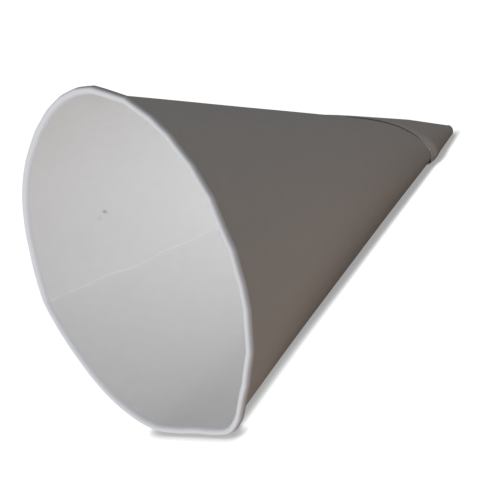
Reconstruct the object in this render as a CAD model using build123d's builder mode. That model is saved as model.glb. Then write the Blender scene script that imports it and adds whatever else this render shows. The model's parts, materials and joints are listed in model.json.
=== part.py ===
"""Cone paper cup with a rolled rim, lying on its side.

One flat paper blank is wound a little more than once round a cone. Its first edge
shows as a step inside the cup. Its last edge shows as a step outside, runs round
near the tip and leaves the tip two plies thick. The mouth is rolled outwards.

Millimetres and degrees. The cup lies with its mouth to -X and its tip to +X.
Angles round the cup start at the line it lies on and run by +Y to the top.
"""

import os
from math import acos, asin, atan, atan2, ceil, cos, degrees, exp, hypot, radians, sin, tan

from build123d import *

# Overall form
MOUTH_RADIUS = 37.5  # outside of the rolled rim, where the mouth is round
CONE_LENGTH = 98.5  # rim plane to the sharp point that the outer face aims at
TIP_RADIUS = 1.15  # where the blunt nose starts
NOSE_LENGTH = 0.9
NOSE_FLAT = 0.55  # width of its end, as a share of its start
PAPER = 0.3
LAPPED = 2  # plies where the sheet's two ends lap

# Rolled rim
ROLL_SIZE = 1.9  # across the roll
ROLL_TURNS = 2  # times that the paper goes round in it
ROLL_ROOT = 0.31  # the wall ends this far below the middle of the roll
ROLL_PROUD = 0.06  # the roll stands this far inside the wall
ROLL_SIDES = 16  # flats round the outside of the roll's section
HOLLOW_SIDES = 8  # and round its hollow

# The mouth is not quite round: each push is its angle, its depth and its width
REST_DEPTH = 36.7  # axis to the flat of the rim that the cup lies on
REST_SHOULDER = (17.0, 0.80, 8.0)  # carries the flat past the cup's balance
REST_ARCH = (-4.0, -0.30, 12.0)  # so that the flat touches at its two ends
SEAM_RIDGE = (83.0, 1.50, 15.0)
FAR_FLAT = (151.0, -2.15, 33.0)
NEAR_CORNER = (334.0, 2.70, 15.0)
FLAT_REACH = 60.0  # the flat can't reach further round than this, to either side
FLATS = 72  # the paper takes small flats as it is wound and rolled

# The blank's two edges
SEAM_ANGLE = 81.0  # the first edge, inside
CUT_ANGLE = 386.0  # where the last edge passes nearest the point
CUT_MISS = 14.0  # how far the last edge misses the point by, along the paper
TIP_LIFT = 0.5  # how far the last ply stands off near the tip
TIP_LIFT_AT = 0.16  # where it stands off most, as a share of the cone from its point
LIFT_START = 0.35  # where it starts to stand off, counted the same way
PLY_PROUD = 0.02  # the last ply stands this far off the one below it at the rim
PLY_LOOSE = 0.04  # and this far where it starts to stand off, and at the nose
PLY_END = 5.0  # the last ply stops this far short of a second turn
CUT_STEPS = 24  # points along the last edge

# The hollow is cut a little past the mouth, and stops short of the point
HOLLOW_MOUTH = 1.03  # share of the cone's length from its point
HOLLOW_END = 0.03

# Derived from the sizes above
round_wall = MOUTH_RADIUS - ROLL_SIZE + ROLL_PROUD + LAPPED * PAPER
half_angle = atan(round_wall / CONE_LENGTH)
ply = PAPER / cos(half_angle)  # one ply, measured square to the axis
wall = MOUTH_RADIUS - ROLL_SIZE + ROLL_PROUD + LAPPED * ply  # the lapped face's radius at the rim
roll_radius = ROLL_SIZE / 2
top_share = 1 - ROLL_ROOT / CONE_LENGTH
tip_share = TIP_RADIUS / wall


def push(angle, centre, depth, width):
    """How far one push moves the rim, fading to either side of its centre."""
    away = (angle - centre + 180) % 360 - 180
    return depth * exp(-((away / width) ** 2))


def rim_radius(angle):
    """Outside radius of the rolled rim, with the flat that the cup lies on."""
    pushes = (REST_SHOULDER, SEAM_RIDGE, FAR_FLAT, NEAR_CORNER)
    free = MOUTH_RADIUS + sum(push(angle, *one) for one in pushes)
    down = cos(radians(angle))
    if down > cos(radians(FLAT_REACH)):
        free = min(free, REST_DEPTH / down)
    return free + push(angle, *REST_ARCH)


def polar(radius, angle):
    return (radius * cos(radians(angle)), radius * sin(radians(angle)))


def outline(share, plies, start, lift=0.0, size=1.0):
    """Draws one turn of a wound face from start, and the step that closes it.

    share is the distance from the point over the cone's length, and lift stands the
    face off the cone. plies is 0 for the inside, 1 for the first turn's outside and
    LAPPED for the last ply's.
    """
    points = []
    for k in range(FLATS + 1):
        angle = start + 360 * k / FLATS
        wound = (angle - SEAM_ANGLE) / 360
        face = share * (rim_radius(angle) - MOUTH_RADIUS + wall)
        radius = face + lift + ply * (plies - LAPPED + wound)
        points.append(polar(size * radius, angle))
    Polyline(*points, close=True)


def cut_radius(angle):
    """Plan radius of the last edge, a straight cut across the flat blank."""
    turned = radians(CUT_ANGLE - angle) * sin(half_angle)
    return CUT_MISS * sin(half_angle) / cos(turned)


# The cup's axis slopes down to the tip, because the roll and the last ply both touch the table
cut_share = cut_radius(360) / (CONE_LENGTH * tan(half_angle))
cut_face = cut_share * (rim_radius(360) - MOUTH_RADIUS + wall) + ply * (360 - SEAM_ANGLE) / 360
cut_lift = TIP_LIFT * (cut_share - tip_share) / (TIP_LIFT_AT - tip_share)
fall = REST_DEPTH - roll_radius - cut_face - cut_lift
reach = CONE_LENGTH * (1 - cut_share)
lean = atan2(fall, reach) + asin(roll_radius / hypot(fall, reach))
cup_plane = Plane(
    origin=(0, 0, REST_DEPTH),
    x_dir=(-sin(lean), 0, -cos(lean)),
    z_dir=(cos(lean), 0, -sin(lean)),
)


def at(share):
    """The plane across the cup at this share of the cone, counted from its point."""
    return cup_plane.offset(CONE_LENGTH * (1 - share))


# Where the last edge reaches the rim
outside = wall / sin(half_angle)
rim_cut = CUT_ANGLE - degrees(acos(CUT_MISS / outside)) / sin(half_angle)
ply_end = SEAM_ANGLE + 360 - PLY_END
wall_start = SEAM_ANGLE + 360 / FLATS * ceil((rim_cut - SEAM_ANGLE) * FLATS / 360)

# The last ply beyond the place where its edge reaches the rim
with BuildPart() as last_ply:
    for share, lift in (
        (top_share, PLY_PROUD),
        (LIFT_START, PLY_LOOSE),
        (TIP_LIFT_AT, TIP_LIFT),
        (tip_share, PLY_LOOSE),
    ):
        with BuildSketch(at(share)):
            with BuildLine():
                outline(share, LAPPED, SEAM_ANGLE, lift)
            make_face()
    loft(ruled=True)
    with BuildSketch(cup_plane):
        with BuildLine():
            step = (ply_end - rim_cut) / CUT_STEPS
            bends = [rim_cut + step * k for k in range(CUT_STEPS + 1)]
            cut = Spline(*(polar(cut_radius(a), a) for a in bends))
            Line(cut @ 1, (0, 0))
            Line((0, 0), cut @ 0)
        make_face()
    extrude(amount=CONE_LENGTH, mode=Mode.INTERSECT)

with BuildPart() as cup:
    # The wound wall, solid at first
    for place, share, size in (
        (at(top_share), top_share, 1.0),
        (at(tip_share), tip_share, 1.0),
        (at(tip_share).offset(NOSE_LENGTH), tip_share, NOSE_FLAT),
    ):
        with BuildSketch(place):
            with BuildLine():
                outline(share, 1, wall_start, size=size)
            make_face()
    loft(ruled=True)
    add(last_ply.part)

    # The inside, which follows the first ply
    for share in (HOLLOW_MOUTH, HOLLOW_END):
        with BuildSketch(at(share)):
            with BuildLine():
                outline(share, 0, SEAM_ANGLE)
            make_face()
    loft(ruled=True, mode=Mode.SUBTRACT)

    # The rolled rim
    with BuildLine(cup_plane) as rim:
        corners = [SEAM_ANGLE + 360 * k / FLATS for k in range(FLATS)]
        Polyline(*(polar(rim_radius(a) - roll_radius, a) for a in corners), close=True)
    rim_start = (rim.line @ 0 + rim.edges()[0] @ 1) / 2
    with BuildSketch(Plane(rim_start, x_dir=cup_plane.z_dir, z_dir=rim.edges()[0] % 0)):
        RegularPolygon(roll_radius, ROLL_SIDES)
        RegularPolygon(roll_radius - ROLL_TURNS * PAPER, HOLLOW_SIDES, mode=Mode.SUBTRACT)
    sweep(path=rim.line, transition=Transition.RIGHT)

# Stand it with the middle of its underside at the origin
box = cup.part.bounding_box()
cup.part.move(Location((-box.center().X, -box.center().Y, -box.min.Z)))

os.makedirs("parts", exist_ok=True)
cup.part.label = "cup"
export_step(cup.part, "parts/cup.step")
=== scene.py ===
"""Cone paper cup on its side, dressed for a studio picture.

The cup is one white paper blank wound a little more than once round a cone, with its
mouth rolled outwards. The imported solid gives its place. The pieces here repeat its
form with the paper's edges, the small flats of the roll and the last ply's lifted lip,
and take a white uncoated paper finish.

Lengths are metres and angles degrees. Angles round the cup start at the line it lies
on and run by +Y to the top. Height in the cup's own frame is counted from the middle
of the roll towards the tip.
"""

from __future__ import annotations

import json
import logging
import math
from dataclasses import dataclass, field
from enum import Enum

import bmesh
import bpy
import numpy as np
from mathutils import Matrix, Vector

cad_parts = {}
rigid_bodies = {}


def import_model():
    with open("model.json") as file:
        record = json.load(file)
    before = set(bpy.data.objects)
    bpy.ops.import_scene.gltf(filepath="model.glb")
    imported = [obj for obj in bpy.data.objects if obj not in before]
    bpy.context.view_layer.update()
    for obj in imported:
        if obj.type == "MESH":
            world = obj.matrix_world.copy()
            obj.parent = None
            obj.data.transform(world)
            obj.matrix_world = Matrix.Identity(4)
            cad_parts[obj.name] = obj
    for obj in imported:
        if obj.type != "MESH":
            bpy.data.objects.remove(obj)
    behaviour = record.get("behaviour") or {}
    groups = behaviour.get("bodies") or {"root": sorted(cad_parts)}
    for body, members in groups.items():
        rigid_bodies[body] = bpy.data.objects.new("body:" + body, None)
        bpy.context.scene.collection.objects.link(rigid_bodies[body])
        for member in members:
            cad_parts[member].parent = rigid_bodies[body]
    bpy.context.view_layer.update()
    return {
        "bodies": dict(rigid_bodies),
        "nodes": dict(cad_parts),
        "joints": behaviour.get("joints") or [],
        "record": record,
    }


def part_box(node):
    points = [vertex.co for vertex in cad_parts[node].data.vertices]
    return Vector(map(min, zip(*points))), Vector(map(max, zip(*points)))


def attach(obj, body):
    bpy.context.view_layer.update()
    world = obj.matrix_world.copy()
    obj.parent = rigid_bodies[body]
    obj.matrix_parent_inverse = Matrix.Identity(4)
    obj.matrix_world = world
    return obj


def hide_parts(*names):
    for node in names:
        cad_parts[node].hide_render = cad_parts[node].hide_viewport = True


LOG = logging.getLogger("cone_cup")
MM = 0.001
LAPPED = 2  # plies where the sheet's two ends lap
# Marks the roll, which carries a painted cool sheen and painted shade
ROLL_PAINTED_SHEEN_SHADE = "rolled"
# Marks the cut edges, which carry the bare fibres' paleness and a painted highlight
CUT_EDGE_AND_HIGHLIGHT = "cut_edge"
MERGE = 1e-6  # points nearer than this are one
HARD_EDGE = 32.0  # faces that meet at more than this angle keep a hard edge

# A mix node has sockets for each kind of data, and these are the ones for colours
MIX_SHARE = 0
MIX_FIRST = 6
MIX_SECOND = 7
MIX_RESULT = 2


def linear(hex_colour: str) -> tuple[float, float, float, float]:
    """Turns an sRGB hex colour into Blender's linear one, by the sRGB standard's curve.

    Args:
        hex_colour: Six hex digits, with or without a leading hash.

    Returns:
        Red, green, blue and an alpha of one.
    """
    digits = hex_colour.lstrip("#")
    parts = [int(digits[at : at + 2], 16) / 255 for at in (0, 2, 4)]
    red, green, blue = (p / 12.92 if p <= 0.04045 else ((p + 0.055) / 1.055) ** 2.4 for p in parts)
    return (red, green, blue, 1.0)


def turned_from(centre: float, angle: np.ndarray) -> np.ndarray:
    """Gives how far each angle lies from the centre, by the shorter way round."""
    return (angle - centre + 180.0) % 360.0 - 180.0


def bell(away: np.ndarray, width: float) -> np.ndarray:
    """Gives a bell curve: the exponential of minus the square of away over width."""
    return np.exp(-((away / width) ** 2))


class Ply(Enum):
    """Which face of the wound paper is meant, by how many plies lie inside it."""

    INSIDE = 0
    FIRST_TURN = 1
    LAST = LAPPED


@dataclass(frozen=True)
class Push:
    """A place where the mouth departs from a circle.

    Attributes:
        angle: The middle of the push.
        depth: How far it moves the rim, outwards where positive.
        width: How far round it reaches to either side.
    """

    angle: float
    depth: float
    width: float

    def at(self, angle: np.ndarray) -> np.ndarray:
        """Gives the push at each angle: depth times a bell curve of the angle away."""
        return self.depth * bell(turned_from(self.angle, angle), self.width)


@dataclass(frozen=True)
class Crease:
    """A sharp ridge in the mouth where the lapped paper bends.

    Attributes:
        angle: Where its edge is.
        depth: How far the edge stands out.
        before: How far round the ridge reaches towards smaller angles.
        after: How far it reaches towards larger ones.
        hollow: More than one makes its sides hollow, so that they fade softly.
    """

    angle: float
    depth: float
    before: float
    after: float
    hollow: float = 1.25

    def at(self, angle: np.ndarray) -> np.ndarray:
        """Gives the ridge: depth times the share of its reach left, to the power hollow.

        Args:
            angle: Angles round the cup.

        Returns:
            How far the ridge stands out at each angle.
        """
        away = turned_from(self.angle, angle)
        reach = np.where(away < 0, self.before, self.after)
        return self.depth * np.maximum(0.0, 1 - np.abs(away) / reach) ** self.hollow


@dataclass(frozen=True)
class ConeForm:
    """The cup's driving sizes and the formulas that every piece follows.

    Attributes:
        mouth_radius: Outside of the rolled rim, where the mouth is round.
        cone_length: From the rim to the sharp point that the outer face aims at.
        tip_radius: The wall's radius where the blunt nose starts.
        nose_length: Length of the nose.
        nose_power: How blunt the nose is. Two would make it an ellipse.
        paper: Thickness of the paper.
        roll_size: Size across the roll.
        roll_proud: How far the roll stands inside the wall.
        rest_depth: From the axis to the flat of the rim that the cup lies on.
        flat_reach: The flat can't reach further round than this, to either side.
        flat_soft: How softly the flat's ends run into the round.
        dent_depth: How far down the wall the mouth's dents have mostly died down.
        dent_left: The share of them that never dies down.
        pushes: Where the mouth isn't round.
        seam_ridge: The ridge where the lapped paper bends.
        seam_angle: Where the blank's first edge lies, inside.
        wall_start: Where the lap ends and the outside steps down to a single turn.
        lean: How far the axis slopes down towards the tip.
    """

    mouth_radius: float = 37.42 * MM
    cone_length: float = 98.5 * MM
    tip_radius: float = 1.13 * MM
    nose_length: float = 0.84 * MM
    nose_power: float = 2.6
    paper: float = 0.3 * MM
    roll_size: float = 1.9 * MM
    roll_proud: float = 0.06 * MM
    rest_depth: float = 36.68 * MM
    flat_reach: float = 60.0
    flat_soft: float = 0.5 * MM
    dent_depth: float = 55.0 * MM
    dent_left: float = 0.45
    pushes: tuple[Push, ...] = (
        Push(151.0, -2.15 * MM, 33.0),
        Push(334.0, 2.7 * MM, 15.0),
        Push(300.0, 0.55 * MM, 16.0),
    )
    seam_ridge: Crease = Crease(81.4, 1.58 * MM, 23.0, 20.0)
    seam_angle: float = 81.0
    wall_start: float = 151.0
    lean: float = 20.204

    @property
    def half_angle(self) -> float:
        """The cone's half angle, in radians."""
        round_wall = self.mouth_radius - self.roll_size + self.roll_proud + LAPPED * self.paper
        return math.atan(round_wall / self.cone_length)

    @property
    def ply(self) -> float:
        """One ply, measured square to the axis."""
        return self.paper / math.cos(self.half_angle)

    @property
    def wall(self) -> float:
        """Radius of the lapped paper's outer face at the mouth."""
        return self.mouth_radius - self.roll_size + self.roll_proud + LAPPED * self.ply

    @property
    def tip_share(self) -> float:
        """Where the blunt nose starts, as a share of the cone from its point."""
        return self.tip_radius / self.wall

    @property
    def tip_height(self) -> float:
        """Height where the blunt nose starts."""
        return self.cone_length * (1 - self.tip_share)

    def dome(self, bow: np.ndarray) -> np.ndarray:
        """Gives the nose's narrowing: the square root of one minus bow to the nose_power."""
        return np.sqrt(np.maximum(0, 1 - bow**self.nose_power))

    def rim_radius(self, angle: np.ndarray) -> np.ndarray:
        """Gives the rim's outside radius: a circle, its pushes and the flat it lies on.

        Args:
            angle: Angles round the cup.

        Returns:
            The radius at each angle. Near the bottom the flat's is its depth over the
            angle's cosine, and a soft minimum of the two is taken: the logarithm of the
            sum of both exponentials.
        """
        pushed = sum(push.at(angle) for push in self.pushes)
        free = self.mouth_radius + self.seam_ridge.at(angle) + pushed
        down = np.cos(np.radians(angle))
        near = down > math.cos(math.radians(self.flat_reach))
        flat = self.rest_depth / np.where(near, down, 1.0)
        soft = -self.flat_soft * np.logaddexp(-free / self.flat_soft, -flat / self.flat_soft)
        return np.where(near, soft, free)

    def face_radius(self, height: np.ndarray, angle: np.ndarray, ply: Ply) -> np.ndarray:
        """Gives the radius of a wound face.

        The cone's radius shrinks in step with the height to nothing at its point. The
        mouth's dents shrink with it, and die down further with the height's exponential.
        The spiral adds one ply over each turn, counted from the first edge.

        Args:
            height: Heights from the middle of the roll.
            angle: Wound angles, which go on growing past a full turn.
            ply: The face that is meant.

        Returns:
            The radius at each height and angle.
        """
        share = 1 - height / self.cone_length
        wound = (angle - self.seam_angle) / 360.0
        left = self.dent_left + (1 - self.dent_left) * np.exp(-height / self.dent_depth)
        cone = share * ((self.rim_radius(angle) - self.mouth_radius) * left + self.wall)
        return cone + self.ply * (ply.value - LAPPED + wound)

    def points(self, height: np.ndarray, radius: np.ndarray, angle: np.ndarray) -> np.ndarray:
        """Turns heights, radii and angles into the leaning cup's points.

        Args:
            height: Heights from the middle of the roll.
            radius: Distances from the axis.
            angle: Angles round the cup.

        Returns:
            An array of points with x, y and z last, and the mouth at the origin: the
            height along the axis, which falls by the lean, plus the radius turned from
            the down side towards +Y.
        """
        lean = math.radians(self.lean)
        turn = np.radians(angle)
        down = radius * np.cos(turn)
        side = radius * np.sin(turn)
        east = height * math.cos(lean) - down * math.sin(lean)
        up = -height * math.sin(lean) - down * math.cos(lean)
        return np.stack([east, side, up], axis=-1)


def mesh_from_grid(
    name: str, grid: np.ndarray, round_rows: bool, round_columns: bool
) -> bpy.types.Mesh:
    """Makes a mesh of four-sided faces from a grid of points.

    Point (i, j) joins (i + 1, j) and (i, j + 1), so every face is found from whole
    arrays of corner numbers.

    Args:
        name: The mesh's name.
        grid: Points with rows first, columns second and x, y, z last.
        round_rows: Whether the last row is followed by the first.
        round_columns: Whether the last column is followed by the first.

    Returns:
        The new mesh, with doubles still in it.
    """
    rows, columns, _ = grid.shape
    row = np.arange(rows if round_rows else rows - 1)[:, None]
    column = np.arange(columns if round_columns else columns - 1)[None, :]
    beside = (column + 1) % columns
    here = row * columns
    after = (row + 1) % rows * columns
    corners = (here + column, here + beside, after + beside, after + column)
    faces = np.stack(corners, axis=-1).reshape(-1, len(corners))
    mesh = bpy.data.meshes.new(name)
    mesh.vertices.add(rows * columns)
    mesh.vertices.foreach_set("co", grid.reshape(-1))
    mesh.loops.add(faces.size)
    mesh.loops.foreach_set("vertex_index", faces.reshape(-1))
    mesh.polygons.add(len(faces))
    mesh.polygons.foreach_set("loop_start", np.arange(len(faces)) * len(corners))
    mesh.update(calc_edges=True)
    return mesh


def store_shares(mesh: bpy.types.Mesh, name: str, shares: np.ndarray) -> None:
    """Keeps a share for each point of a mesh, for the paper's finish to read.

    Args:
        mesh: The mesh, with its points still in the grid's order.
        name: The name that the finish reads them by.
        shares: From nothing to one, with rows first and columns second.
    """
    layer = mesh.attributes.new(name, "FLOAT", "POINT")
    layer.data.foreach_set("value", shares.reshape(-1).astype(np.float32))


def close_mesh(mesh: bpy.types.Mesh) -> None:
    """Merges doubles, turns faces outwards and keeps the paper's edges crisp."""
    shape = bmesh.new()
    shape.from_mesh(mesh)
    bmesh.ops.remove_doubles(shape, verts=shape.verts, dist=MERGE)
    bmesh.ops.recalc_face_normals(shape, faces=shape.faces)
    for face in shape.faces:
        face.smooth = True
    shape.to_mesh(mesh)
    shape.free()
    mesh.set_sharp_from_angle(angle=math.radians(HARD_EDGE))


def link_piece(name: str, mesh: bpy.types.Mesh) -> bpy.types.Object:
    """Puts a mesh into the scene as an object at the origin.

    Args:
        name: The object's name.
        mesh: Its mesh.

    Returns:
        The new object.
    """
    piece = bpy.data.objects.new(name, mesh)
    bpy.context.scene.collection.objects.link(piece)
    return piece


@dataclass(frozen=True)
class RimFlats:
    """The small flats that the paper takes as the rim is rolled.

    Attributes:
        count: How many there are round the mouth.
        wander: How far their corners stray from even spacing.
        swings: How often the two waves of that straying swing in one round.
        swing_share: The second wave's height as a share of the first's.
        swing_lead: How far on the second wave starts, in radians.
        depth: The flats' depth as a share of a true chord's, where they are strongest.
        calm: The share of it that is left where they are weakest.
        strongest: Where they are strongest.
        reach: How far round from there they stay strong.
        fade: How far below the rim they have mostly died out.
        lap_step: How much thinner the roll is just before the lap.
        lap_fade: How far round that thinning reaches.
    """

    count: int = 31
    wander: float = 2.3
    swings: tuple[int, int] = (7, 12)
    swing_share: float = 0.6
    swing_lead: float = 1.0
    depth: float = 1.5
    calm: float = 0.1
    strongest: float = 258.0
    reach: float = 78.0
    fade: float = 6.0 * MM
    lap_step: float = 0.12 * MM
    lap_fade: float = 20.0

    def corners(self) -> np.ndarray:
        """Gives the corner angles: even steps, moved by the sum of two sine waves.

        Returns:
            The corners of one round and of two flats past either end of it, so that
            every angle lies between two of them.
        """
        spare = 2
        index = np.arange(-spare, self.count + spare + 1)
        turn = 2 * np.pi * index / self.count
        first, second = (swing * turn for swing in self.swings)
        strayed = np.sin(first) + self.swing_share * np.sin(second + self.swing_lead)
        return 360.0 * index / self.count + self.wander * strayed

    def sag(self, angle: np.ndarray, form: ConeForm) -> np.ndarray:
        """Gives how far inside the round mouth the rim lies.

        Between two corners the rim is a straight chord, so the sag is the radius times
        one less the cosine of half the flat over the cosine of the angle from its
        middle. A bell curve of the angle weakens it towards the calm side. The thinning
        before the lap is added, and fades round the cup.

        Args:
            angle: Angles round the cup.
            form: The cup's sizes.

        Returns:
            The sag at each angle.
        """
        plain = angle % 360.0
        corners = self.corners()
        after = np.searchsorted(corners, plain, side="right")
        middle = (corners[after - 1] + corners[after]) / 2
        half = np.radians((corners[after] - corners[after - 1]) / 2)
        chord = form.mouth_radius * (1 - np.cos(half) / np.cos(np.radians(plain - middle)))
        near = bell(turned_from(self.strongest, plain), self.reach)
        strong = self.calm + (1 - self.calm) * near
        before_lap = (form.seam_angle - plain) % 360.0
        return self.depth * strong * chord + self.lap_step * np.exp(-before_lap / self.lap_fade)


@dataclass
class WoundSheet:
    """The wound blank with its rolled rim: inside, roll, outside and nose in one surface.

    Attributes:
        form: The cup's sizes.
        flats: The rim's small flats.
        hollow_share: Where the inside ends, as a share of the cone from its point.
        wall_rows: Rows of points down each wall.
        row_power: More than one sets those rows closer towards the rim.
        first_row: How far below the middle of the roll the inside's rows start.
        roll_rows: Rows round the roll.
        roll_end: How far round the roll goes before it meets the wall again.
        roll_gap: How far below the roll's end the outside's rows start.
        roll_square: One leaves the roll's section round, and less presses it square.
        nose_rows: Rows over the nose.
        ripple: Height of the walls' slight waves.
        ripple_counts: How many of the two waves go round the cup.
        ripple_slants: How far down the wall each wave moves round by a radian.
        ripple_lead: How far on the second wave starts, in radians.
        calm_mouth: How far below the rim the inside's waves are at their full height.
        calm_tip: How far above the nose the outside's waves start to die out.
        edge_width: How far round the first edge's bare fibres show, with a painted highlight on
            them.
        edge_wander: How far round the first edge strays from a straight line.
        edge_swings: How far down the edge each wave of that straying turns by a radian.
        edge_share: The second wave's height as a share of the first's.
        edge_lead: How far on the second wave starts, in radians.
        edge_start: How far below the rim the straying has mostly set in.
        edge_reach: How far round from the edge the paper strays with it.
    """

    form: ConeForm
    flats: RimFlats = field(default_factory=RimFlats)
    hollow_share: float = 0.03
    wall_rows: int = 64
    row_power: float = 1.4
    first_row: float = 0.2 * MM
    roll_rows: int = 26
    roll_end: float = 296.0
    roll_gap: float = 0.04 * MM
    roll_square: float = 0.74
    nose_rows: int = 8
    ripple: float = 0.05 * MM
    ripple_counts: tuple[int, int] = (3, 5)
    ripple_slants: tuple[float, float] = (11.0 * MM, 17.0 * MM)
    ripple_lead: float = 1.3
    calm_mouth: float = 30.0 * MM
    calm_tip: float = 20.0 * MM
    edge_width: float = 0.45
    edge_wander: float = 0.55
    edge_swings: tuple[float, float] = (4.1 * MM, 1.9 * MM)
    edge_share: float = 0.7
    edge_lead: float = 0.8
    edge_start: float = 6.0 * MM
    edge_reach: float = 9.0

    @property
    def deep(self) -> float:
        """Height where the inside ends."""
        return self.form.cone_length * (1 - self.hollow_share)

    def columns(self) -> tuple[np.ndarray, np.ndarray]:
        """Gives the wound angles of the columns, which are a degree apart.

        Returns:
            Those of the inside and those of the outside. Two columns stand at the first
            edge, where the inside steps by one ply, and two at the lap's end, where the
            outside does.
        """
        form = self.form
        half_step = 0.5  # so that each range holds its end
        lap = np.arange(form.seam_angle, form.wall_start + half_step)
        rest = np.arange(form.wall_start, form.seam_angle + 360.0 + half_step)
        lap = np.insert(lap, 1, form.seam_angle + self.edge_width)
        rest = np.insert(rest, -1, form.seam_angle + 360.0 - self.edge_width)
        return np.concatenate([lap, rest]), np.concatenate([lap + 360.0, rest])

    @property
    def sag(self) -> np.ndarray:
        """How far inside the round mouth the rim lies at each column."""
        return self.flats.sag(self.columns()[0], self.form)

    def wave(self, height: np.ndarray, angle: np.ndarray) -> np.ndarray:
        """Gives the walls' waves: two slow sine waves of angle and height, multiplied.

        Args:
            height: Heights from the middle of the roll.
            angle: Angles round the cup.

        Returns:
            How far the wall stands out at each height and angle.
        """
        turn = np.radians(angle)
        slants = [height / slant for slant in self.ripple_slants]
        first = self.ripple_counts[0] * turn + slants[0]
        second = self.ripple_counts[1] * turn - slants[1] + self.ripple_lead
        return self.ripple * np.sin(first) * np.sin(second)

    def wander(self, height: np.ndarray, angle: np.ndarray) -> np.ndarray:
        """Gives how far each point is turned so that the first edge isn't a ruled line.

        Two sine waves of the height are added, nothing at the rim, and fade with the
        angle away from the edge as a bell curve.

        Args:
            height: Heights from the middle of the roll.
            angle: Angles round the cup.

        Returns:
            The turn at each height and angle.
        """
        first, second = (height / swing for swing in self.edge_swings)
        strayed = np.sin(first) + self.edge_share * np.sin(second + self.edge_lead)
        start = 1 - np.exp(-np.maximum(height, 0.0) / self.edge_start)
        near = bell(turned_from(self.form.seam_angle, angle), self.edge_reach)
        return self.edge_wander * strayed * start * near

    def inside(self, spread: np.ndarray) -> tuple[np.ndarray, np.ndarray]:
        """Works out the inside, from the deep end to the roll.

        It is the cone less two plies. The rim's sag dies out down it with the height's
        exponential, and its waves grow from nothing at the rim.

        Args:
            spread: How far down each row lies, from one at the deep end to nothing.

        Returns:
            Heights and radii, with rows first and columns second.
        """
        angle = self.columns()[0]
        height = self.first_row + (self.deep - self.first_row) * spread
        grown = np.minimum(1, height / self.calm_mouth)
        radius = self.form.face_radius(height, angle, Ply.INSIDE) + self.wave(height, angle) * grown
        return height, radius - self.sag * np.exp(-height / self.flats.fade)

    def roll(self) -> tuple[np.ndarray, np.ndarray]:
        """Works out the roll, from its inmost point by the mouth to its end under the rim.

        It is an ellipse from the inside's face to the rim, pressed a little square by
        taking a power of its sine and cosine. Its inner side is splayed like the wall
        that it goes on from.

        Returns:
            Heights and radii, with rows first and columns second.
        """
        form = self.form
        angle = self.columns()[0]
        lip = form.face_radius(np.zeros(1), angle, Ply.INSIDE)
        rim = form.rim_radius(angle)
        turn = np.radians(np.linspace(0, self.roll_end, self.roll_rows))[:, None]
        across = np.sign(np.cos(turn)) * np.abs(np.cos(turn)) ** self.roll_square
        along = np.sign(np.sin(turn)) * np.abs(np.sin(turn)) ** self.roll_square
        height = -form.roll_size / 2 * along
        splay = -height * math.tan(form.half_angle) * (1 + across) / 2
        return height, (lip + rim) / 2 - self.sag - (rim - lip) / 2 * across + splay

    def outside(self, start: float, spread: np.ndarray) -> tuple[np.ndarray, np.ndarray]:
        """Works out the outside, from under the roll to the nose.

        It is the cone less one ply, with the rim's sag as on the inside. Its waves die
        out towards the nose.

        Args:
            start: The first row's height.
            spread: How far down each row lies, from nothing to one at the nose.

        Returns:
            Heights and radii, with rows first and columns second.
        """
        form = self.form
        angle = self.columns()[1]
        height = start + (form.tip_height - start) * spread
        dented = self.sag * np.exp(-height / self.flats.fade)
        radius = form.face_radius(height, angle, Ply.FIRST_TURN) - dented
        left = np.minimum(1, (form.tip_height - height) / self.calm_tip)
        return height, radius + self.wave(height, angle) * left

    def profile(self) -> tuple[np.ndarray, np.ndarray]:
        """Works out the surface from the deep end, up the inside, round the roll and down.

        The deep end is closed by a point on the axis, and the nose by its dome.

        Returns:
            Heights and radii, with rows first and columns second.
        """
        form = self.form
        spread = np.linspace(1, 0, self.wall_rows)[:, None] ** self.row_power
        point = (np.full((1, 1), self.deep), np.zeros((1, 1)))
        roll = self.roll()
        roll_end = roll[0][-1, 0]
        outside = self.outside(roll_end + self.roll_gap, spread[::-1])
        bow = np.linspace(0, 1, self.nose_rows + 1)[1:, None]
        nose = (form.tip_height + form.nose_length * bow, outside[1][-1] * form.dome(bow))

        sections = (point, self.inside(spread), roll, outside, nose)
        columns = np.zeros_like(self.sag)
        heights = np.concatenate([height + columns for height, _ in sections])
        radii = np.concatenate([radius + columns for _, radius in sections])
        return heights, radii

    def build(self) -> bpy.types.Object:
        """Makes the piece and marks its roll and its first edge.

        Returns:
            The piece, with the cup's mouth at the origin.
        """
        height, radius = self.profile()
        angle = self.columns()[0]
        grid = self.form.points(height, radius, angle + self.wander(height, angle))
        mesh = mesh_from_grid("cup_paper", grid, round_rows=False, round_columns=True)
        roll_row = 1 + self.wall_rows
        # The roll's share carries a painted cool sheen and painted shade.
        rolled = np.zeros_like(radius)
        rolled[roll_row : roll_row + self.roll_rows] = 1.0
        # The first edge's share carries the bare fibres' paleness and a painted highlight.
        bare = np.zeros_like(radius)
        bare[1:roll_row, [0, -1]] = 1.0
        store_shares(mesh, ROLL_PAINTED_SHEEN_SHADE, rolled)
        store_shares(mesh, CUT_EDGE_AND_HIGHLIGHT, bare)
        close_mesh(mesh)
        return link_piece("cup_paper", mesh)


@dataclass(frozen=True)
class EdgeBend:
    """A bend of the last ply near its edge.

    Attributes:
        angle: Where round the cup it is strongest.
        amount: How much it does there.
        width: How far round from there it reaches.
        reach: How far from the edge it reaches.
    """

    angle: float
    amount: float
    width: float
    reach: float

    def at(self, angle: np.ndarray) -> np.ndarray:
        """Gives the bend at each angle: its amount times a bell curve of the angle away."""
        return self.amount * bell(angle - self.angle, self.width)


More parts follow.
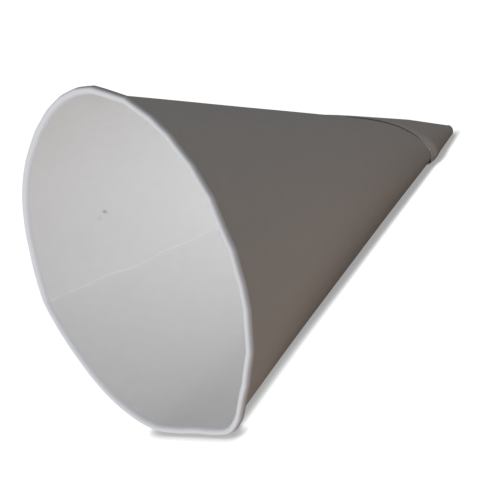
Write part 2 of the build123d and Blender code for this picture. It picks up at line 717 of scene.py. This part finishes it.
def loop_round(outer: np.ndarray, inner: np.ndarray, ends: np.ndarray) -> np.ndarray:
    """Runs down the outer face's rows and back up the inner one's, and shuts both ends.

    Args:
        outer: Values on the outer face, with rows first and columns second.
        inner: Values on the inner face.
        ends: Values midway, of which the first and last columns are taken.

    Returns:
        The values with twice the rows and two more columns.
    """
    loop = np.concatenate([outer, inner[::-1]])
    shut = np.concatenate([ends, ends[::-1]])
    return np.column_stack([shut[:, :1], loop, shut[:, -1:]])


@dataclass
class LastPly:
    """The last ply beyond the lap, from the blank's last edge to the tip.

    Attributes:
        form: The cup's sizes.
        cut_angle: Where the last edge passes nearest the cone's point.
        cut_miss: How far it misses the point by, along the paper.
        short_of_turn: The ply stops this far short of a second turn.
        rim_gap: It stays at least this far below the middle of the roll.
        lift: How far it stands off near the tip.
        lift_at: Where it stands off most, as a share of the cone from its point.
        lift_start: Where it starts to stand off, counted the same way.
        loose: How far it stands off there and at the tip.
        rim_loose: How far it stands off at the rim.
        bulge: Where it stands off further, a little way in from the edge.
        tuck: Where its edge is pressed back onto the wall, by a share of the stand-off.
        bare_and_highlight_width: How far in from the edge its bare fibres show, with a painted
            highlight on them.
        rows: Rows of points from the edge to the tip.
        row_power: More than one sets those rows closer towards the edge.
        nose_rows: Rows over the nose.
        nose_share: How much of the nose the ply covers.
        least_radius: The inner face stays at least this far from the axis.
        columns: Columns round the cup.
    """

    form: ConeForm
    cut_angle: float = 386.0
    cut_miss: float = 14.0 * MM
    short_of_turn: float = 5.0
    rim_gap: float = 0.3 * MM
    lift: float = 0.47 * MM
    lift_at: float = 0.16
    lift_start: float = 0.35
    loose: float = 0.03 * MM
    rim_loose: float = 0.02 * MM
    bulge: EdgeBend = EdgeBend(302.0, 0.42 * MM, 30.0, 2.0 * MM)
    tuck: EdgeBend = EdgeBend(282.0, 0.95, 50.0, 1.3 * MM)
    bare_and_highlight_width: float = 0.8 * MM
    rows: int = 44
    row_power: float = 1.5
    nose_rows: int = 5
    nose_share: float = 0.8
    least_radius: float = 0.1 * MM
    columns: int = 290

    def first_angle(self) -> float:
        """Gives where the last edge reaches the rim.

        Returns:
            The cut's angle, less the arc cosine of the miss over the wall's slant length,
            over the sine of the half angle.
        """
        half = self.form.half_angle
        turned = math.acos(self.cut_miss * math.cos(half) / self.form.cone_length)
        return self.cut_angle - math.degrees(turned) / math.sin(half)

    def edge_share(self, angle: np.ndarray) -> np.ndarray:
        """Gives the last edge's distance from the point, as a share of the cone.

        The edge is a straight cut across the flat blank, so its distance is the miss
        over the cosine of the angle turned on the flat, which is the angle round the
        cup times the sine of the half angle.

        Args:
            angle: Angles round the cup.

        Returns:
            The share at each angle.
        """
        half = self.form.half_angle
        turned = np.radians(self.cut_angle - angle) * math.sin(half)
        return self.cut_miss * math.cos(half) / np.cos(turned) / self.form.cone_length

    def stand_off(self, share: np.ndarray, edge: np.ndarray, angle: np.ndarray) -> np.ndarray:
        """Gives how far the ply stands off the one below it.

        It rises in a straight line from lift_start to lift_at and falls again to the
        tip. The bulge adds a bell curve round the cup times one of the distance from
        the edge, and the tuck takes a share away by two such curves.

        Args:
            share: Shares of the cone from its point.
            edge: The last edge's share at each angle.
            angle: Angles round the cup.

        Returns:
            The distance at each share and angle.
        """
        form = self.form
        places = [form.tip_share, self.lift_at, self.lift_start, 1.0]
        lifts = [self.loose, self.lift, self.loose, self.rim_loose]
        inward = (edge - share) * form.cone_length
        bulged = self.bulge.at(angle) * bell(inward - self.bulge.reach, self.bulge.reach)
        tucked = self.tuck.at(angle) * bell(inward, self.tuck.reach)
        return (np.interp(share, places, lifts) + bulged) * (1 - tucked)

    def outer_face(self) -> tuple[np.ndarray, np.ndarray, np.ndarray]:
        """Works out the outer face, from the last edge down to the nose.

        It is the cone plus the stand-off, and the nose's dome goes on from it.

        Returns:
            Heights and radii, with rows first and columns second, and the columns' angles.
        """
        form = self.form
        end = form.seam_angle + 360.0 - self.short_of_turn
        angle = np.linspace(self.first_angle(), end, self.columns)
        edge = np.minimum(self.edge_share(angle), 1 - self.rim_gap / form.cone_length)
        spread = np.linspace(0, 1, self.rows)[:, None] ** self.row_power
        share = edge + (form.tip_share - edge) * spread
        height = form.cone_length * (1 - share)
        radius = form.face_radius(height, angle, Ply.LAST) + self.stand_off(share, edge, angle)
        bow = np.linspace(0, self.nose_share, self.nose_rows + 1)[1:, None]
        nose_height = form.tip_height + form.nose_length * bow + np.zeros_like(angle)
        nose_radius = radius[-1] * form.dome(bow)
        height = np.concatenate([height, nose_height])
        return height, np.concatenate([radius, nose_radius]), angle

    def build(self) -> bpy.types.Object:
        """Makes the piece: a grid of outer points, its inner points and two shut ends.

        The inner face lies a ply's thickness below the outer one, and the ends lie
        midway. The bare fibres' paleness, with a painted highlight, fades with the exponential of
        the height below the edge.

        Returns:
            The piece, with the cup's mouth at the origin.
        """
        height, outer, angle = self.outer_face()
        inner = np.maximum(outer - self.form.ply, self.least_radius)
        # The edge band carries the bare fibres' paleness and a painted highlight.
        bare = np.exp(-(height - height[0]) / self.bare_and_highlight_width)
        grid = self.form.points(
            loop_round(height, height, height),
            loop_round(outer, inner, (outer + inner) / 2),
            np.pad(angle, 1, mode="edge"),
        )
        mesh = mesh_from_grid("last_ply", grid, round_rows=True, round_columns=False)
        store_shares(mesh, CUT_EDGE_AND_HIGHLIGHT, loop_round(bare, bare, bare))
        close_mesh(mesh)
        return link_piece("last_ply", mesh)


def seat(pieces: list[bpy.types.Object], low: Vector, high: Vector) -> np.ndarray:
    """Moves the pieces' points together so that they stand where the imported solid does.

    The middle of their box and its underside go to those of the solid's box.

    Args:
        pieces: The pieces, still with the mouth at the origin.
        low: The solid's lowest corner.
        high: Its highest corner.

    Returns:
        The move, which is where the middle of the mouth comes to be.
    """
    clouds = []
    for piece in pieces:
        cloud = np.empty(len(piece.data.vertices) * 3)
        piece.data.vertices.foreach_get("co", cloud)
        clouds.append(cloud.reshape(-1, 3))
    every = np.concatenate(clouds)
    floor = every.min(axis=0)
    top = every.max(axis=0)
    shift = (np.array(low) + np.array(high)) / 2 - (floor + top) / 2
    shift[2] = low[2] - floor[2]
    for piece, cloud in zip(pieces, clouds):
        piece.data.vertices.foreach_set("co", (cloud + shift).reshape(-1))
        piece.data.update()
    LOG.info("seated by %s mm", np.round(shift / MM, 3))
    return shift


def add_node(
    tree: bpy.types.NodeTree,
    kind: str,
    settings: dict[str, object] | None = None,
    inputs: dict[str | int, object] | None = None,
) -> bpy.types.Node:
    """Adds a node, sets its options, and fills or links its inputs.

    Args:
        tree: The node tree.
        kind: The node's type.
        settings: Its options by name.
        inputs: A value, or an output to link from, for each input by name or number.

    Returns:
        The new node.
    """
    node = tree.nodes.new(kind)
    for name, value in (settings or {}).items():
        setattr(node, name, value)
    for name, value in (inputs or {}).items():
        if isinstance(value, bpy.types.NodeSocket):
            tree.links.new(value, node.inputs[name])
        else:
            node.inputs[name].default_value = value
    return node


@dataclass(frozen=True)
class Fleck:
    """A dark speck of bark in the pulp of the inner face.

    Attributes:
        height: How far below the roll it lies.
        angle: Where round the cup it lies.
        size: Its radius.
        strength: How much of its colour shows.
    """

    height: float
    angle: float
    size: float
    strength: float

    def place(self, form: ConeForm, mouth: np.ndarray) -> tuple[float, ...]:
        """Gives the point on the inside where it lies.

        Args:
            form: The cup's sizes.
            mouth: Where the middle of the mouth is.

        Returns:
            Its x, y and z.
        """
        height = np.array([self.height])
        angle = np.array([self.angle])
        radius = form.face_radius(height, angle, Ply.INSIDE)
        return tuple(form.points(height, radius, angle)[0] + mouth)


@dataclass(frozen=True)
class PaperFinish:
    """White uncoated cup paper.

    Attributes:
        pale: The paper's colour where its fibres lie thick.
        thin: Its colour where they lie thin.
        rolled: The roll's colour, a little cooler and darker than the paper's: a painted cool sheen
            for the light on the roll's bends, and painted shade.
        bare: The colour of a cut edge, where bare fibres show, made lighter still by a painted
            highlight.
        mottle: Size of the thick and thin places.
        mottle_detail: How many times finer ones are added to them.
        mottle_rough: How strong each finer one is beside the last.
        fibre: Size of the fibre marks, drawn coarser than real fibres so that they show.
        fibre_detail: How many times finer marks are added to them.
        fibre_curl: How far they are bent.
        roughness: How matt the paper is, least and most.
        sheen: Strength of its faint reflections.
        bump: Height of the fibre marks.
        mottle_relief: Height of the thick places beside the fibre marks'.
        bark: The colour of the specks in the pulp.
        flecks: The specks that show.
        fleck_edge: Where a speck starts to fade and where it ends, in its radius.
    """

    pale: str = "F0F0F0"
    thin: str = "EAEAE9"
    rolled: str = "E5E7EA"
    bare: str = "F7F7F6"
    mottle: float = 2.5 * MM
    mottle_detail: float = 4.0
    mottle_rough: float = 0.55
    fibre: float = 0.35 * MM
    fibre_detail: float = 3.0
    fibre_curl: float = 1.2
    roughness: tuple[float, float] = (0.72, 0.88)
    sheen: float = 0.35
    bump: float = 0.012 * MM
    mottle_relief: float = 2.0
    bark: str = "4A4440"
    flecks: tuple[Fleck, ...] = (
        Fleck(15.5 * MM, 107.8, 0.42 * MM, 0.32),
        Fleck(15.9 * MM, 107.2, 0.34 * MM, 0.2),
        Fleck(14.4 * MM, 105.3, 0.55 * MM, 0.07),
    )
    fleck_edge: tuple[float, float] = (0.4, 1.5)

    def colour(
        self, tree: bpy.types.NodeTree, clouds: bpy.types.NodeSocket
    ) -> bpy.types.NodeSocket:
        """Adds the paper's colour: pale and thin places, the roll's painted cool sheen and shade,
        and the cut edges' bare fibres with a painted highlight.

        Args:
            tree: The material's node tree.
            clouds: How thick the fibres lie.

        Returns:
            The colour before the specks.
        """
        body = add_node(
            tree,
            "ShaderNodeMix",
            {"data_type": "RGBA"},
            {MIX_SHARE: clouds, MIX_FIRST: linear(self.thin), MIX_SECOND: linear(self.pale)},
        )
        colour = body.outputs[MIX_RESULT]
        # The roll gets a painted cool sheen and shade, and the cut edges get a painted highlight
        # over their bare fibres' paleness.
        for name, tint in ((ROLL_PAINTED_SHEEN_SHADE, self.rolled), (CUT_EDGE_AND_HIGHLIGHT, self.bare)):
            stored = add_node(tree, "ShaderNodeAttribute", {"attribute_name": name})
            tinted = add_node(
                tree,
                "ShaderNodeMix",
                {"data_type": "RGBA"},
                {MIX_SHARE: stored.outputs["Fac"], MIX_FIRST: colour, MIX_SECOND: linear(tint)},
            )
            colour = tinted.outputs[MIX_RESULT]
        return colour

    def mark(
        self,
        tree: bpy.types.NodeTree,
        place: bpy.types.NodeSocket,
        colour: bpy.types.NodeSocket,
        fleck: Fleck,
        spot: tuple[float, ...],
    ) -> bpy.types.NodeSocket:
        """Adds a speck, whose share fades smoothly with the distance from its middle.

        Args:
            tree: The material's node tree.
            place: Each point's place.
            colour: The colour round the speck.
            fleck: The speck.
            spot: Where its middle is.

        Returns:
            The colour with the speck on it.
        """
        away = add_node(
            tree, "ShaderNodeVectorMath", {"operation": "DISTANCE"}, {0: place, 1: spot}
        )
        inner, outer = self.fleck_edge
        share = add_node(
            tree,
            "ShaderNodeMapRange",
            {"interpolation_type": "SMOOTHSTEP"},
            {
                "Value": away.outputs["Value"],
                "From Min": inner * fleck.size,
                "From Max": outer * fleck.size,
                "To Min": fleck.strength,
                "To Max": 0.0,
            },
        )
        marked = add_node(
            tree,
            "ShaderNodeMix",
            {"data_type": "RGBA"},
            {MIX_SHARE: share.outputs["Result"], MIX_FIRST: colour, MIX_SECOND: linear(self.bark)},
        )
        return marked.outputs[MIX_RESULT]

    def build(self, form: ConeForm, mouth: np.ndarray) -> bpy.types.Material:
        """Makes the material.

        Gives the eye a matt white sheet with soft clouds, short fibre marks that catch
        the low light, and a few dark specks.

        Args:
            form: The cup's sizes, for the places of the specks.
            mouth: Where the middle of the mouth is.

        Returns:
            The material.
        """
        material = bpy.data.materials.new("uncoated_white_paper")
        material.use_nodes = True
        tree = material.node_tree
        shader = tree.nodes["Principled BSDF"]
        place = add_node(tree, "ShaderNodeTexCoord").outputs["Object"]
        clouds, fibres = (
            add_node(
                tree,
                "ShaderNodeTexNoise",
                inputs={"Vector": place, "Scale": 1 / size, "Detail": detail, **more},
            ).outputs["Fac"]
            for size, detail, more in (
                (self.mottle, self.mottle_detail, {"Roughness": self.mottle_rough}),
                (self.fibre, self.fibre_detail, {"Distortion": self.fibre_curl}),
            )
        )
        colour = self.colour(tree, clouds)
        for fleck in self.flecks:
            colour = self.mark(tree, place, colour, fleck, fleck.place(form, mouth))
        tree.links.new(colour, shader.inputs["Base Color"])
        smooth, rough = self.roughness
        matt = add_node(
            tree,
            "ShaderNodeMapRange",
            inputs={"Value": fibres, "To Min": smooth, "To Max": rough},
        )
        tree.links.new(matt.outputs["Result"], shader.inputs["Roughness"])
        relief = add_node(
            tree,
            "ShaderNodeMath",
            {"operation": "MULTIPLY_ADD"},
            {0: clouds, 1: self.mottle_relief, 2: fibres},
        )
        lumps = add_node(
            tree,
            "ShaderNodeBump",
            inputs={"Strength": 1.0, "Distance": self.bump, "Height": relief.outputs["Value"]},
        )
        tree.links.new(lumps.outputs["Normal"], shader.inputs["Normal"])
        shader.inputs["Specular IOR Level"].default_value = self.sheen
        return material


@dataclass(frozen=True)
class TableFinish:
    """A matt table top that the camera sees as white where no shade falls.

    Attributes:
        bounce: The colour that the table throws back onto the cup.
        roughness: How matt the table is.
        tone: How light it looks to the camera by the lamps alone.
        glow: What is added for the camera, so that the open table is white.
        shade_reach: How far from the cup the close shade under it reaches.
        shade_rays: How many rays look for that shade.
        shade_power: How fast it deepens towards the cup.
        shade_least: The share of the glow that is left where it is deepest.
    """

    bounce: str = "D8C5B7"
    roughness: float = 0.9
    tone: float = 0.3
    glow: float = 0.98
    shade_reach: float = 2.1 * MM
    shade_rays: int = 8
    shade_power: float = 1.5
    shade_least: float = 0.35

    def build(self) -> bpy.types.Material:
        """Makes the material.

        Gives the eye a white sweep with the cup's own soft shade on it. The glow is for
        camera rays only and fades where the cup closes off the space above the table: it
        is multiplied by the open share of that space to the power of shade_power, or by
        shade_least where that is more.

        Returns:
            The material.
        """
        material = bpy.data.materials.new("matt_white_table")
        material.use_nodes = True
        tree = material.node_tree
        shader = tree.nodes["Principled BSDF"]
        shader.inputs["Roughness"].default_value = self.roughness
        shader.inputs["Specular IOR Level"].default_value = 0.0
        shader.inputs["Emission Color"].default_value = (1.0, 1.0, 1.0, 1.0)
        by_camera = add_node(tree, "ShaderNodeLightPath").outputs["Is Camera Ray"]
        grey = (self.tone, self.tone, self.tone, 1.0)
        top = add_node(
            tree,
            "ShaderNodeMix",
            {"data_type": "RGBA"},
            {MIX_SHARE: by_camera, MIX_FIRST: linear(self.bounce), MIX_SECOND: grey},
        )
        tree.links.new(top.outputs[MIX_RESULT], shader.inputs["Base Color"])
        shade = add_node(
            tree,
            "ShaderNodeAmbientOcclusion",
            {"samples": self.shade_rays},
            {"Distance": self.shade_reach},
        ).outputs["AO"]
        for operation, amount in (
            ("POWER", self.shade_power),
            ("MAXIMUM", self.shade_least),
            ("MULTIPLY", self.glow),
            ("MULTIPLY", by_camera),
        ):
            shade = add_node(
                tree, "ShaderNodeMath", {"operation": operation}, {0: shade, 1: amount}
            ).outputs["Value"]
        tree.links.new(shade, shader.inputs["Emission Strength"])
        return material


@dataclass(frozen=True)
class Studio:
    """The table, the light and the camera.

    Attributes:
        table_radius: Half the table's width.
        sun_towards: The direction that the key light comes from.
        sun_strength: Its strength.
        sun_width: How wide it looks from the cup, which softens its shadows.
        sun_colour: Its colour, a little cool.
        fill: Strength of the light from all round.
        room_colour: Its colour, and the colour that the camera sees behind the table.
        aim: The point in the middle of the picture.
        distance: From the camera to that point.
        azimuth: How far round the camera stands, from looking along +Y.
        elevation: How far up it stands.
        roll: How far the picture is turned, clockwise.
        lens: Focal length, on a sensor of the width given.
        sensor: The sensor's width.
        clip: The nearest and the furthest that the camera sees.
    """

    table_radius: float = 4.0
    sun_towards: tuple[float, float, float] = (-0.95, -0.17, 0.225)
    sun_strength: float = 2.21
    sun_width: float = 32.0
    sun_colour: str = "FBFCFF"
    fill: float = 0.143
    room_colour: str = "FFFFFF"
    aim: tuple[float, float, float] = (-22.16 * MM, -15.23 * MM, 23.32 * MM)
    distance: float = 300.83 * MM
    azimuth: float = -31.47
    elevation: float = 18.88
    roll: float = 35.49
    lens: float = 108.0
    sensor: float = 36.0
    clip: tuple[float, float] = (0.01, 20.0)

    def table(self) -> bpy.types.Object:
        """Makes the table: a square at the cup's underside."""
        reach = self.table_radius
        corners = [(-reach, -reach, 0), (reach, -reach, 0), (reach, reach, 0), (-reach, reach, 0)]
        mesh = bpy.data.meshes.new("table_top")
        mesh.from_pydata(corners, [], [range(len(corners))])
        mesh.materials.append(TableFinish().build())
        return link_piece("table_top", mesh)

    def key_light(self) -> None:
        """Adds the low sun that shines into the mouth."""
        lamp = bpy.data.lights.new("window_light", "SUN")
        lamp.energy = self.sun_strength
        lamp.color = linear(self.sun_colour)[:3]
        lamp.angle = math.radians(self.sun_width)
        holder = bpy.data.objects.new("window_light", lamp)
        holder.rotation_euler = Vector(self.sun_towards).to_track_quat("Z", "Y").to_euler()
        bpy.context.scene.collection.objects.link(holder)

    def room(self) -> None:
        """Adds the light from all round, which the camera sees as white."""
        world = bpy.data.worlds.new("white_room")
        bpy.context.scene.world = world
        world.use_nodes = True
        tree = world.node_tree
        background = tree.nodes["Background"]
        background.inputs["Color"].default_value = linear(self.room_colour)
        path = add_node(tree, "ShaderNodeLightPath")
        seen = add_node(
            tree,
            "ShaderNodeMath",
            {"operation": "MAXIMUM"},
            {0: path.outputs["Is Camera Ray"], 1: path.outputs["Is Transmission Ray"]},
        )
        strength = add_node(
            tree,
            "ShaderNodeMapRange",
            inputs={"Value": seen.outputs["Value"], "To Min": self.fill, "To Max": 1.0},
        )
        tree.links.new(strength.outputs["Result"], background.inputs["Strength"])

    def camera(self) -> None:
        """Adds the camera.

        It stands off the aim point by its distance, along the direction that azimuth
        and elevation give, and its right and up directions are turned by the roll.
        """
        round_by, up_by, turn = (math.radians(a) for a in (self.azimuth, self.elevation, self.roll))
        flat = math.cos(up_by)
        back = Vector((math.sin(round_by) * flat, -math.cos(round_by) * flat, math.sin(up_by)))
        level = (-back).cross(Vector((0, 0, 1))).normalized()
        upright = back.cross(level)
        right = level * math.cos(turn) - upright * math.sin(turn)
        up = upright * math.cos(turn) + level * math.sin(turn)
        data = bpy.data.cameras.new("camera")
        data.lens = self.lens
        data.sensor_width = self.sensor
        data.clip_start, data.clip_end = self.clip
        holder = bpy.data.objects.new("camera", data)
        place = Matrix.Translation(Vector(self.aim) + back * self.distance)
        holder.matrix_world = place @ Matrix((right, up, back)).transposed().to_4x4()
        bpy.context.scene.collection.objects.link(holder)
        bpy.context.scene.camera = holder


def main() -> None:
    """Loads the frame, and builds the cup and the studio."""
    logging.basicConfig(level=logging.INFO, format="%(name)s: %(message)s")
    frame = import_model()
    LOG.info("frame with %d entries", len(frame))
    bpy.context.scene.view_settings.view_transform = "Standard"
    studio = Studio()
    studio.camera()
    studio.key_light()
    studio.room()
    studio.table()

    form = ConeForm()
    sheet = WoundSheet(form).build()
    last = LastPly(form).build()
    low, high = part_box("cup")
    mouth = seat([sheet, last], low, high)
    paper = PaperFinish().build(form, mouth)
    sheet.data.materials.append(paper)
    last.data.materials.append(paper)
    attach(sheet, "root")
    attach(last, "root")
    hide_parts("cup")
    for piece in (sheet, last):
        LOG.info("%s: %d faces", piece.name, len(piece.data.polygons))


if __name__ == "__main__":
    main()
